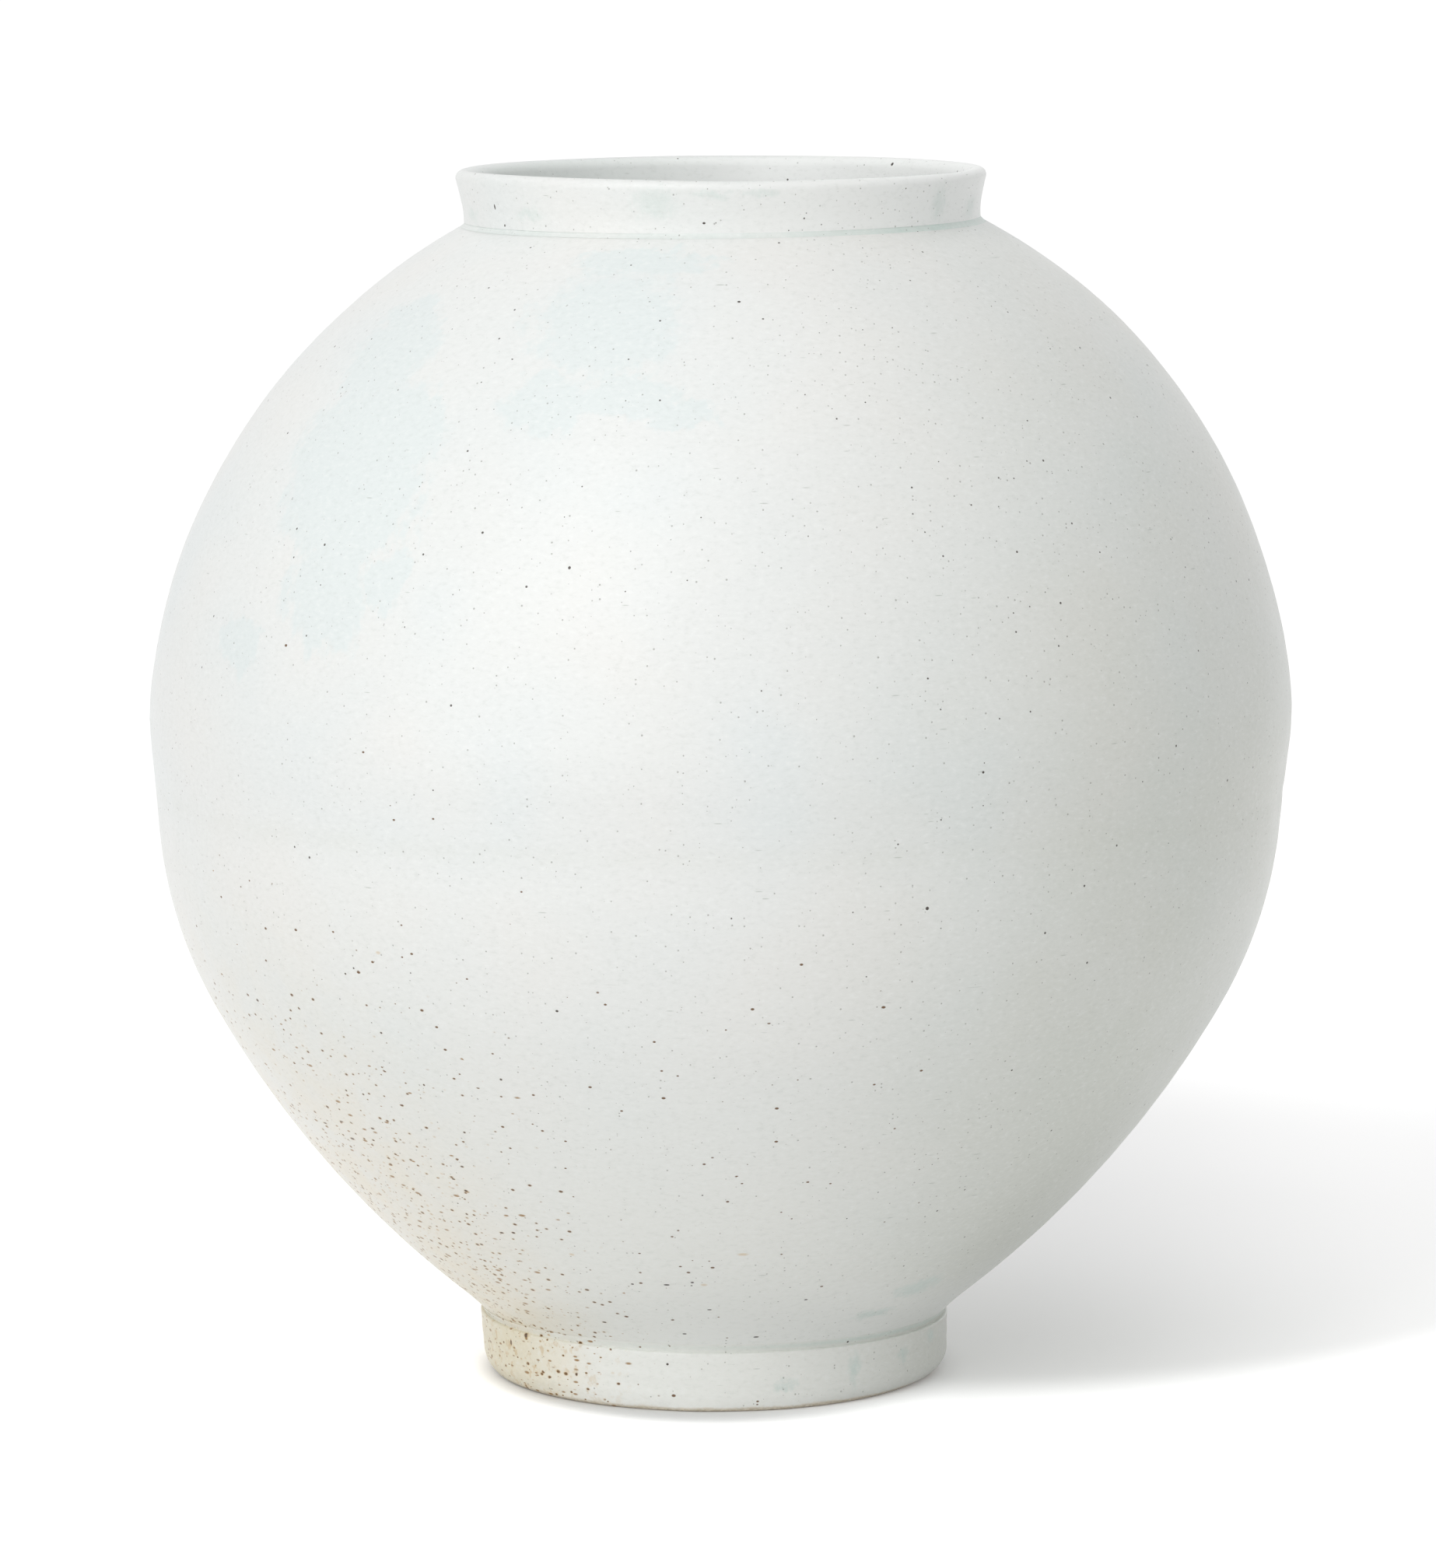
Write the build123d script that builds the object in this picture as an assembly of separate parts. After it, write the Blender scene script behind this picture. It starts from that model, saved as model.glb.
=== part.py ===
from build123d import *
import math
import os

# Moon jar of white porcelain: two thrown bowls luted rim to rim, on a foot ring, under a low flared collar.
# Millimetres and degrees. +X is to the right, +Z is up, and the origin is on the floor under the belly's middle.

# Heights of the pieces, one above the other, each on its slip
foot_height = 23.3
lower_height = 195.5
upper_height = 208.2  # to the seat of the collar
collar_height = 20.0  # from its seat to the crest of the lip

# Slip, the wet clay that lutes one piece to the next
slip_thickness = 1.5
slip_recess = 0.4  # how far the slip stays behind the faces that it joins

# Luted rims: both bowls meet in one short cone that widens upwards
seam_radius = 209.9
seam_flare = 5.2
wall = 8.0

# Lower bowl, from its rim down to its base
lower_band = 14.0  # straight wall next to the rim
hip_radius = 162.6
hip_turn = 24.0
base_radius = 85.5
base_thickness = 11.0
floor_round = 25.0  # round between the floor and the wall, inside
lower_lean = 0.5  # sideways lean, as the bowl settled in the kiln

# Upper bowl, from its rim up to its neck
upper_band = 26.0  # straight wall next to the rim
belly_radius = 42.7  # round of the belly, in profile
belly_turn = 10.3
neck_radius = 96.5
upper_lean = 0.9

# Coil pressed over the seam inside
coil_height = 26.0
coil_thickness = 5.0

# Collar, tilted on the neck with its right side up
collar_tilt = 0.7
collar_step = 0.9  # its outer face starts this far behind the edge of the neck
collar_wall = 5.6
lip_flare = 2.5  # the lip stands out this far from the foot of the collar
lip_outer_round = 2.7
lip_outer_turn = 101.0  # the lip rolls over by this much before the outer face starts
lip_inner_round = 3.6
lip_inner_turn = 80.0

# Foot ring
foot_ledge = 2.1  # its top stands out this far from the base of the lower bowl
foot_taper = 0.8  # how much smaller it is at the floor
foot_width = 13.0
foot_outer_round = 4.0
foot_inner_round = 2.5
foot_draft = 2.0  # how much wider its inside is at the floor

# Places that follow from the sizes above
base_height = foot_height + slip_thickness
lower_rim = base_height + lower_height
upper_rim = lower_rim + slip_thickness
neck_height = upper_rim + upper_height
seam_bore = seam_radius - wall / math.cos(math.radians(seam_flare))
collar_radius = neck_radius - collar_step
mouth_radius = collar_radius - collar_wall
lip_radius = collar_radius + lip_flare
foot_radius = base_radius + foot_ledge
foot_bore = foot_radius - foot_width
rim_downwards = Plane(origin=(0, 0, lower_rim), x_dir=(1, 0, 0), z_dir=(0, 1, 0))
rim_upwards = Plane(origin=(0, 0, upper_rim), x_dir=(1, 0, 0), z_dir=(0, -1, 0))


def inward(tangent, distance):
    """Step to the left of a direction in a profile, which is towards the inside of the bowl."""
    return Vector(-tangent.Y, tangent.X).normalized() * distance


def bowl_lines(heading, band, round_radius, turn, end, floor=None):
    """Outer and inner line of a bowl's wall, from the rim at height 0 to its small end.

    Each is a straight band, an arc and a closing arc, tangent to one another. The wall keeps its thickness,
    unless a floor is given: then the closing arc thickens it to reach that floor.
    """
    rim = Vector(seam_radius, 0)
    straight = PolarLine(rim, band, heading)
    bend = JernArc(straight @ 1, straight % 1, round_radius, turn)
    dome = TangentArc(bend @ 1, end, tangent=bend % 1)

    inner_straight = Line((seam_bore, 0), straight @ 1 + inward(straight % 1, wall))
    inner_bend = JernArc(inner_straight @ 1, straight % 1, round_radius - wall, turn)
    end_run = dome % 1
    end_wall = floor / abs(end_run.X) if floor else wall
    inner_end = dome @ 1 + inward(end_run, end_wall)
    inner_dome = TangentArc(inner_bend @ 1, inner_end, tangent=bend % 1)
    return [straight, bend, dome], [inner_straight, inner_bend, inner_dome]


def lean(solid, angle, height):
    """Shear a solid to the right above a level plane, and to the left below it."""
    slope = math.tan(math.radians(angle))
    return solid.transform_geometry(Matrix([[1, 0, slope, -slope * height], [0, 1, 0, 0], [0, 0, 1, 0]]))


def lean_offset(angle, height, level):
    """How far lean moves the axis of a solid at one height."""
    return math.tan(math.radians(angle)) * (height - level)


def ring(outer_radius, inner_radius, height):
    """Flat ring that stands on its own plane."""
    return extrude(Circle(outer_radius) - Circle(inner_radius), height)


def make_lower_bowl():
    """Bowl with a flat floor, thrown upright, its profile drawn from the rim downwards."""
    base = (base_radius, lower_height)
    outer, inner = bowl_lines(90 + seam_flare, lower_band, hip_radius, hip_turn, base, floor=base_thickness)
    base_edge = outer[-1] @ 1
    floor_edge = inner[-1] @ 1
    closing = [
        Line(base_edge, (0, base_edge.Y)),
        Line((0, base_edge.Y), (0, floor_edge.Y)),
        Line((0, floor_edge.Y), floor_edge),
        Line(inner[0] @ 0, outer[0] @ 0),
    ]
    section = make_face(outer + inner + closing)
    corner = section.vertices().sort_by_distance(floor_edge)[0]
    section = fillet(corner, floor_round)
    return lean(revolve(rim_downwards * section, Axis.Z), lower_lean, lower_rim)


def upper_lines():
    """Outer and inner line of the upper bowl's wall, drawn from the rim upwards."""
    return bowl_lines(90 - seam_flare, upper_band, belly_radius, belly_turn, (neck_radius, upper_height))


def neck_seat():
    """Plane of the tilted seat that the collar stands on, in the middle of the neck."""
    run = upper_lines()[0][-1] % 1
    tilt = math.radians(collar_tilt)
    tilt_offset = neck_radius * math.tan(tilt) * run.X / run.Y
    middle = lean_offset(upper_lean, neck_height, upper_rim) + tilt_offset
    return Plane(
        origin=(middle, 0, neck_height),
        x_dir=(math.cos(tilt), 0, math.sin(tilt)),
        z_dir=(-math.sin(tilt), 0, math.cos(tilt)),
    )


def make_upper_bowl(seat):
    """Bowl turned over onto the lower one, cut off at the tilted seat and opened by the mouth."""
    outer, inner = upper_lines()
    overrun = 2 * wall
    outer_top = PolarLine(outer[-1] @ 1, overrun, direction=outer[-1] % 1)
    inner_top = PolarLine(inner[-1] @ 1, overrun, direction=inner[-1] % 1)
    closing = [outer_top, inner_top, Line(outer_top @ 1, inner_top @ 1), Line(inner[0] @ 0, outer[0] @ 0)]
    section = make_face(outer + inner + closing)
    bowl = lean(revolve(rim_upwards * section, Axis.Z), upper_lean, upper_rim)
    bowl = split(bowl, bisect_by=seat, keep=Keep.BOTTOM)
    mouth = extrude(Circle(mouth_radius), 2 * overrun, both=True)
    return bowl - seat * mouth


def make_waist_slip():
    """Thin ring between the two rims."""
    return Pos(0, 0, lower_rim) * ring(seam_radius - slip_recess, seam_bore, slip_thickness)


def make_waist_coil():
    """Coil with a round back, pressed flat against the straight bands of both walls and the slip."""
    crown_radius = seam_bore - coil_thickness

    def half(rim_plane, heading, angle):
        back = PolarLine((seam_bore, 0), coil_height / 2, heading)
        crown = TangentArc((crown_radius, 0), back @ 1, tangent=(0, 1))
        section = make_face([back, crown, Line((crown_radius, 0), (seam_bore, 0))])
        return lean(revolve(rim_plane * section, Axis.Z), angle, rim_plane.origin.Z)

    middle = Pos(0, 0, lower_rim) * ring(seam_bore, crown_radius, slip_thickness)
    low = half(rim_downwards, 90 + seam_flare, lower_lean)
    high = half(rim_upwards, 90 - seam_flare, upper_lean)
    return low + middle + high


def make_collar(seat):
    """Flared collar with a rolled lip, standing on its slip. Its faces are tangent to the lip's rounds."""
    crest = Vector(lip_radius - lip_outer_round, collar_height)
    low_outer = Vector(collar_radius, slip_thickness)
    low_inner = Vector(mouth_radius, slip_thickness)
    outer_lip = JernArc(crest, (1, 0), lip_outer_round, -lip_outer_turn)
    inner_lip = JernArc(crest, (-1, 0), lip_inner_round, lip_inner_turn)
    section = make_face([
        outer_lip,
        TangentArc(outer_lip @ 1, low_outer, tangent=outer_lip % 1),
        Line(low_outer, low_inner),
        TangentArc(inner_lip @ 1, low_inner, tangent=inner_lip % 1),
        inner_lip,
    ])
    return seat * revolve(Plane.XZ * section, Axis.Z)


def make_collar_slip(seat):
    """Thin ring between the neck and the collar."""
    return seat * ring(collar_radius - slip_recess, mouth_radius + slip_recess, slip_thickness)


def foot_middle():
    """Place on the floor under the middle of the lower bowl's base."""
    return Pos(lean_offset(lower_lean, base_height, lower_rim), 0, 0)


def make_foot_ring():
    """Ring with rounded edges at the floor."""
    floor_outer = Vector(foot_radius - foot_taper, 0)
    floor_inner = Vector(foot_bore + foot_draft, 0)
    top_outer = Vector(foot_radius, foot_height)
    top_inner = Vector(foot_bore, foot_height)
    section = make_face(Polyline(floor_outer, top_outer, top_inner, floor_inner, close=True).edges())
    section = fillet(section.vertices().sort_by_distance(floor_outer)[0], foot_outer_round)
    section = fillet(section.vertices().sort_by_distance(floor_inner)[0], foot_inner_round)
    return foot_middle() * revolve(Plane.XZ * section, Axis.Z)


def make_foot_slip():
    """Thin ring between the foot ring and the lower bowl's base."""
    slip = ring(base_radius - slip_recess, foot_bore + slip_recess, slip_thickness)
    return foot_middle() * Pos(0, 0, foot_height) * slip


def make_jar():
    """All pieces by name, with the belly's middle over the origin."""
    seat = neck_seat()
    upper_bowl = make_upper_bowl(seat)
    pieces = {
        "foot_ring": make_foot_ring(),
        "foot_slip": make_foot_slip(),
        "lower_bowl": make_lower_bowl(),
        "waist_slip": make_waist_slip(),
        "waist_coil": make_waist_coil(),
        "upper_bowl": upper_bowl,
        "collar_slip": make_collar_slip(seat),
        "mouth_collar": make_collar(seat),
    }
    middle = upper_bowl.bounding_box().center().X
    return {name: Pos(-middle, 0, 0) * piece for name, piece in pieces.items()}


os.makedirs("parts", exist_ok=True)
for name, piece in make_jar().items():
    piece.label = name
    export_step(piece, f"parts/{name}.step")
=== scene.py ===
import math

import bpy
import numpy as np
from mathutils import Matrix, Vector
from mathutils.bvhtree import BVHTree


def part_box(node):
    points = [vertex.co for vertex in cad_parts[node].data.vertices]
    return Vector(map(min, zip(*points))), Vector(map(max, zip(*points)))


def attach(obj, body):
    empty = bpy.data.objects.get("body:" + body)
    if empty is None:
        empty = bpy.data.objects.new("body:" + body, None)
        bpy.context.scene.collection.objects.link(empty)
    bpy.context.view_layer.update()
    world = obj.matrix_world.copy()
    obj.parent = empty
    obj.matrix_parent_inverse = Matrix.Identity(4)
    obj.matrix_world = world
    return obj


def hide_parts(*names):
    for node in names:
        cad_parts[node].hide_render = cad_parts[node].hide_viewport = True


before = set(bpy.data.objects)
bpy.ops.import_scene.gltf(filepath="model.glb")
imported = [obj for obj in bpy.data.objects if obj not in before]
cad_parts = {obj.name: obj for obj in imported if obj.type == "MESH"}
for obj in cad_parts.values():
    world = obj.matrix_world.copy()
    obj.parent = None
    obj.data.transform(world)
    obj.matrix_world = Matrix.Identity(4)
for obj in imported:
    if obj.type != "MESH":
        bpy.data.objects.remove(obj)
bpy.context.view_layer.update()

# White porcelain moon jar, dressed over its solids: thrown walls, pooled glaze, specks and a scorched side.
# Outlines are in millimetres, and shaders and places in the scene are in metres.
# Angles go round the jar from its front, positive to the right.
MM = 0.001


def node_box(node):
    """Lowest and highest corner of a solid, in millimetres."""
    low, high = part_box(node)
    return np.array(low) / MM, np.array(high) / MM


def middle_of(node):
    """How far a solid's middle lies to the right of the origin, in millimetres."""
    low, high = node_box(node)
    return (low[0] + high[0]) / 2


# Heights, middles and a radius that come from the solids
foot_top = node_box("foot_ring")[1][2]
base_height = node_box("lower_bowl")[0][2]
lower_rim = node_box("lower_bowl")[1][2]
upper_rim = node_box("upper_bowl")[0][2]
seam_height = (lower_rim + upper_rim) / 2
seam_radius = node_box("lower_bowl")[1][1]
foot_middle = middle_of("foot_ring")
waist_middle = middle_of("waist_slip")
seat_middle = middle_of("collar_slip")

# Lower bowl
wall = 8.0
lower_flare = 5.2
lower_band = 14.0
hip_radius = 162.6
hip_turn = 24.0
base_radius = 85.5
base_inset = 4.0
foot_spread = 1.8
spread_from = 34.0
floor_corner = (83.8, 41.0)  # radius and height where the inner wall meets the floor's round
floor_round = 25.0
floor_height = 35.8
cap_radius = 4.0  # smallest ring round the middle of the floor and of the base

# Upper bowl
upper_flare = 6.23
upper_band = 16.64
belly_radius = 100.0
belly_turn = 13.05
upper_lean = 0.9
wave_size = 0.5
belly_wave = (308, 26)  # height and reach of a slow wave to the left
shoulder_wave = (398, 18)  # and of one to the right
neck_radius = 96.5
neck_height = 430.0
neck_spare = 4.0  # drawn on above the neck, for the side where the seat is higher
true_neck = 6.0  # stretch under the seat in which the wall becomes truly round
tilt_from = 400.0  # height from which the neck follows the collar's tilt
throat_step = 2.7
throat_low = 423.0
throat_high = 424.4

# Waist coil
coil_reach = 13.0
coil_depth = 5.0
coil_flare = 0.09  # outwards, for each millimetre of height
coil_bed = 0.3
dent_depth = 0.6
dent_count = 30

# Collar, drawn from its tilted seat
collar_tilt = 0.7
collar_lean = -0.018  # sideways, for each millimetre of height
collar_radius = 95.6
collar_heading = 93
collar_hollow = (96.15, 8.5)  # radius and height where its foot ends and its flare begins
collar_flare = (98.0, 16.4)  # and where its flare ends
mouth_radius = 87.0
mouth_heading = 76
mouth_length = 14.0
slip_thickness = 1.5
lip_outer_round = 2.7
lip_inner_round = 4.6
lip_from = 10.0
lip_full = 18.0
crest_height = 20.0
crest_fall = 0.55  # at the right
crest_rise = 1.7  # at the front left
crest_drop = 0.05
crest_ripple = 0.04
collar_oval = 0.12
collar_ripple = 0.05
mouth_ripple = 0.15
gather_depth = 0.05
gather_band = (14.0, 2.8)  # height and reach of the glaze gathered under the lip

# Glaze pooled under the collar
neck_pool = 0.6
neck_pool_right = 0.8
neck_pool_inset = 0.5
neck_pool_reach = 1.2
neck_pool_ripple = 0.08
neck_pool_hollow = 1.4
shoulder_meets = 0.2
shoulder_slope = 0.54

# Foot ring and the slip on it
foot_radius = 87.7
foot_bore = 74.6
foot_draft = 2.0
foot_ledge_round = 0.8
foot_floor_round = 1.8
foot_bore_round = 2.5
foot_taper = 1.15
foot_taper_left = 0.85
foot_taper_ripple = 0.15
foot_taper_curve = 1.2
foot_shift = -0.3  # sideways
turning_depth = 0.06
turning_twist = 0.9
worn_depth = 0.18
worn_band = (0.6, 1.6)  # height and reach
bevel_depth = 4.6
bevel_depth_right = 1.4
bevel_height = 7.5
joint_dip = 1.2
slip_slope = 0.62
slip_corner = 0.45
slip_shift = -0.15  # sideways
slip_lap = 0.1  # onto the ring
slip_climb = 0.6  # up the wall
slip_proud = 0.06
slip_inset = 2.0
tuck = 0.4  # how far a slip is tucked in where nobody sees it

# Hand of the potter: depths, and then heights or reaches along the wall
oval_depth = 0.2
ridge_depth = 0.02
ridge_pitch = 13
hip_ridges = (90, 45)  # height and reach of the deeper ridges
hollow_depth = 0.08
hollow_pitch = 31
seam_depth = 0.04
seam_depth_right = 0.12
seam_reach = 2.6
scrape_reach = 15
finger_depth = 0.5
finger_pitch = 17
finger_fade = 26
finger_radius = 100  # on the floor, the ridges die out inside this radius

# How finely the wet clay is drawn
COLUMNS = 360
row_gap = 2.5
fine_gap = 0.5
fine_strip = 6.0  # beside the seam
floor_gap = 6.0
lip_gap = 0.4
collar_gap = 0.6
sharp_edge = 40  # degrees
hair = 0.01
angles = np.linspace(-math.pi, math.pi, COLUMNS, endpoint=False)
to_right = np.sin(angles)
to_front = np.cos(angles)


class Outline:
    """Profile of a turned piece, as the rib runs: straights, bends and sweeps, each tangent to the last."""

    def __init__(self, radius, height, heading):
        self.points = [(radius, height)]
        self.heading = math.radians(heading)

    def straight(self, length, gap=row_gap):
        radius, height = self.points[-1]
        out, up = math.cos(self.heading), math.sin(self.heading)
        count = math.ceil(length / gap)
        for step in np.linspace(0, length, count + 1)[1:]:
            self.points.append((radius + step * out, height + step * up))
        return self

    def bend(self, bend_radius, turn, gap=row_gap):
        side = math.copysign(bend_radius, turn)
        radius, height = self.points[-1]
        middle_radius = radius - side * math.sin(self.heading)
        middle_height = height + side * math.cos(self.heading)
        start = self.heading
        self.heading += math.radians(turn)
        count = math.ceil(abs(math.radians(turn)) * bend_radius / gap)
        for heading in np.linspace(start, self.heading, count + 1)[1:]:
            out, up = side * math.sin(heading), -side * math.cos(heading)
            self.points.append((middle_radius + out, middle_height + up))
        return self

    def sweep_to(self, radius, height, gap=row_gap):
        """One arc, tangent to the line so far, that ends at a point."""
        across = radius - self.points[-1][0]
        up = height - self.points[-1][1]
        half = math.remainder(math.atan2(up, across) - self.heading, 2 * math.pi)
        bend_radius = math.hypot(across, up) / (2 * math.sin(abs(half)))
        return self.bend(bend_radius, math.degrees(2 * half), gap)

    def line_to(self, radius, height, gap=row_gap):
        across = radius - self.points[-1][0]
        up = height - self.points[-1][1]
        self.heading = math.atan2(up, across)
        return self.straight(math.hypot(across, up), gap)

    def columns(self):
        """Radii and heights, each as one column."""
        table = np.array(self.points)
        return table[:, :1], table[:, 1:]


def column(*values):
    """Numbers as one column."""
    return np.array(values)[:, None]


def stacked(*parts):
    """One array of rows from several, all as wide as the jar is divided."""
    return np.vstack([np.broadcast_to(part, (len(part), COLUMNS)) for part in parts])


def swell(value, middle, width):
    """Round hump of height 1."""
    return np.exp(-(((value - middle) / width) ** 2))


def limited(value):
    """A value held between 0 and 1."""
    return np.clip(value, 0, 1)


def jar_middle(height):
    """Where the leaning jar's middle is at a height."""
    low = waist_middle + (foot_middle - waist_middle) * (lower_rim - height) / (lower_rim - base_height)
    high = waist_middle + math.tan(math.radians(upper_lean)) * (height - upper_rim)
    low = np.minimum(low, waist_middle)
    high = np.maximum(high, waist_middle)
    waves = swell(height, *shoulder_wave) - swell(height, *belly_wave)
    return np.where(height < seam_height, low, high) + wave_size * waves


def flush_seam(height):
    """Scraping that makes both rims and the slip between them one cone."""
    above = height - seam_height
    half_slip = slip_thickness / 2
    half_step = half_slip * math.tan(math.radians((lower_flare + upper_flare) / 2))
    return -half_step * np.clip(above / half_slip, -1, 1) * np.exp(-np.abs(above) / scrape_reach)


def hand_of_potter(height):
    """How far the outer wall falls short of a true turned form: oval, with throwing ridges and the seam."""
    oval = oval_depth * to_front**2
    ridges = ridge_depth * (1 + np.sin(angles + height * 2 * math.pi / ridge_pitch))
    ridges = ridges * (1 + swell(height, *hip_ridges))
    hollows = hollow_depth * (1 + np.sin(3 * angles + height / hollow_pitch)) * to_front**2
    seam = seam_depth + seam_depth_right * limited(to_right) ** 2
    return oval + ridges + hollows + seam * swell(height, seam_height, seam_reach) + flush_seam(height)


def fingers_inside(height):
    """Finger ridges of the inner wall, which fade out at the coil over the seam."""
    ridges = finger_depth * np.sin(angles + height * 2 * math.pi / finger_pitch)
    return ridges * (1 - swell(height, seam_height, finger_fade))


def turned_mesh(name, radius, height, middle, capped=False):
    """Closed mesh of a turned piece, from one row of points for each point of its outline.

    A capped piece starts and ends on the axis. Any other is a ring, whose last row meets its first.
    """
    rows = np.stack([radius * to_right + middle, -radius * to_front, height], axis=-1)
    points = rows.reshape(-1, 3) * MM
    numbers = np.arange(len(points)).reshape(radius.shape)
    ahead = np.roll(numbers, -1, axis=1)
    above = numbers[1:] if capped else np.roll(numbers, -1, axis=0)
    above_ahead = np.roll(above, -1, axis=1)
    count = len(above)
    quads = np.stack([numbers[:count], ahead[:count], above_ahead, above], axis=-1).reshape(-1, 4)
    faces = quads.tolist()
    if capped:
        for row, order in ((0, -1), (-1, 1)):
            points = np.vstack([points, rows[row].mean(axis=0) * MM])
            rim = list(zip(numbers[row].tolist(), ahead[row].tolist()))
            faces += [(a, b, len(points) - 1)[::order] for a, b in rim]
    mesh = bpy.data.meshes.new(name)
    mesh.from_pydata(points.tolist(), [], faces)
    mesh.update()
    return mesh


def signed_volume(mesh):
    """Volume inside a mesh, negative where its faces look inwards."""
    mesh.calc_loop_triangles()
    corners = np.array([vertex.co for vertex in mesh.vertices])
    triangles = np.array([triangle.vertices[:] for triangle in mesh.loop_triangles])
    a, b, c = corners[triangles[:, 0]], corners[triangles[:, 1]], corners[triangles[:, 2]]
    return np.einsum("ij,ij->i", a, np.cross(b, c)).sum() / 6


def dress(node, mesh):
    """Put a mesh in the place of a solid."""
    if signed_volume(mesh) < 0:
        mesh.flip_normals()
    mesh.set_sharp_from_angle(angle=math.radians(sharp_edge))
    piece = bpy.data.objects.new(mesh.name, mesh)
    bpy.context.scene.collection.objects.link(piece)
    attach(piece, "root")
    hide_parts(node)
    return piece


def hip_outline():
    """Outer wall of the lower bowl, from its rim down to its base."""
    outside = Outline(seam_radius, lower_rim, 270 - lower_flare)
    outside.straight(fine_strip, fine_gap).straight(lower_band - fine_strip)
    return outside.bend(hip_radius, -hip_turn).sweep_to(base_radius, base_height)


def hip_spread(height):
    """How far the wall spreads out again just above the foot."""
    return foot_spread * limited((spread_from - height) / (spread_from - base_height)) ** 2


def lower_bowl_mesh():
    """Bowl with a flat floor: its base, its wall up to the rim, and its inside down to the floor."""
    radius, height = hip_outline().columns()
    outer = radius + hip_spread(height) - hand_of_potter(height)

    inside = Outline(seam_radius - wall, lower_rim, 270 - lower_flare)
    inside.straight(lower_band).bend(hip_radius - wall, -hip_turn).sweep_to(*floor_corner)
    inside.bend(floor_round, 180 - math.degrees(inside.heading) % 360)
    inside.line_to(cap_radius, floor_height, floor_gap)
    inner_radius, inner_height = inside.columns()
    inner = inner_radius - fingers_inside(inner_height) * np.minimum(1, inner_radius / finger_radius)

    base = np.linspace(cap_radius, base_radius - base_inset, num=12)[:, None]
    all_radii = stacked(base, outer[::-1], inner)
    all_heights = stacked(np.full_like(base, base_height), height[::-1], inner_height)
    return turned_mesh("lower_bowl_thrown", all_radii, all_heights, jar_middle(all_heights), capped=True)


def shoulder_outline():
    """Outer wall of the upper bowl, from its rim to just above its neck."""
    outside = Outline(seam_radius, upper_rim, 90 - upper_flare)
    outside.straight(fine_strip, fine_gap).straight(upper_band - fine_strip)
    outside.bend(belly_radius, belly_turn).sweep_to(neck_radius, neck_height)
    return outside.straight(neck_spare)


def neck_share(height):
    """0 below the stretch of the neck that follows the collar's tilt, and 1 at the seat."""
    return limited((height - tilt_from) / (neck_height - tilt_from))


def upper_bowl_mesh():
    """Bowl turned over onto the lower one, with its neck cut to the tilted seat of the collar."""
    seat_rise = math.tan(math.radians(collar_tilt)) * neck_radius * to_right
    outline_radius, outline_height = shoulder_outline().columns()
    kept = outline_height[outline_height <= neck_height + hair][:, None]
    height = kept + neck_share(kept) * seat_rise
    radius = np.interp(height, outline_height[:, 0], outline_radius[:, 0])
    outer = radius - hand_of_potter(height) * limited((neck_height - kept) / true_neck)

    inside = Outline(seam_radius - wall, upper_rim, 90 - upper_flare)
    inside.straight(upper_band).bend(belly_radius - wall, belly_turn)
    inside.sweep_to(mouth_radius + throat_step, throat_low).sweep_to(mouth_radius, throat_high)
    inside.line_to(mouth_radius, neck_height, gap=1)
    inner_radius, inner_height = inside.columns()
    inner = inner_radius - fingers_inside(inner_height) * (1 - neck_share(inner_height))
    raised = inner_height + neck_share(inner_height) * seat_rise

    all_radii = stacked(inner[::-1], outer)
    all_heights = stacked(raised[::-1], height)
    at_bore = np.abs(all_radii - mouth_radius) < hair
    middle = np.where(at_bore, seat_middle, jar_middle(stacked(inner_height[::-1], kept)))
    return turned_mesh("upper_bowl_thrown", all_radii, all_heights, middle)


def waist_slip_mesh():
    """Ring of slip that fills the seam and is wiped flush with both bowls."""
    height = np.linspace(lower_rim, upper_rim, num=7)[:, None]
    radius = seam_radius - hand_of_potter(height)
    inner_height = column(upper_rim, lower_rim)
    inner = np.full_like(inner_height, seam_radius - wall)
    all_heights = stacked(height, inner_height)
    return turned_mesh("waist_slip_wiped", stacked(radius, inner), all_heights, jar_middle(all_heights))


def waist_coil_mesh():
    """Coil pressed over the seam inside, with the dents of the fingers that pressed it."""
    reach = np.linspace(-coil_reach, coil_reach, num=21)[:, None]
    bed = seam_radius - wall + reach * coil_flare
    crown = np.sqrt(limited(1 - (reach / coil_reach) ** 2))
    dents = dent_depth * (1 + np.sin(dent_count * angles + 2 * np.sin(3 * angles)))
    radius = bed - crown * (coil_depth - dents)
    back = bed[::-1] + coil_bed
    height = seam_height + reach
    all_heights = stacked(height, height[::-1])
    return turned_mesh("waist_coil_pressed", stacked(radius, back), all_heights, jar_middle(all_heights))


def tilted(mesh):
    """Tilt a mesh that was drawn from the collar's seat, and lift it there."""
    turn = Matrix.Rotation(-math.radians(collar_tilt), 4, "Y")
    mesh.transform(Matrix.Translation((seat_middle * MM, 0, neck_height * MM)) @ turn)
    return mesh


def up_to_crest(height):
    """Heights of a line up the collar, stretched so that it ends at the crest."""
    return height + (crest_height - height[-1]) * limited(height / crest_height)


def uneven(height):
    """Heights up the collar where its crest rises at the front left and falls at the right."""
    front_left = limited(-to_right) * limited(to_front)
    fall = crest_fall * to_right - crest_rise * front_left + crest_ripple * np.sin(7 * angles) - crest_drop
    return height - fall * limited((height - lip_from) / (lip_full - lip_from))


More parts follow.
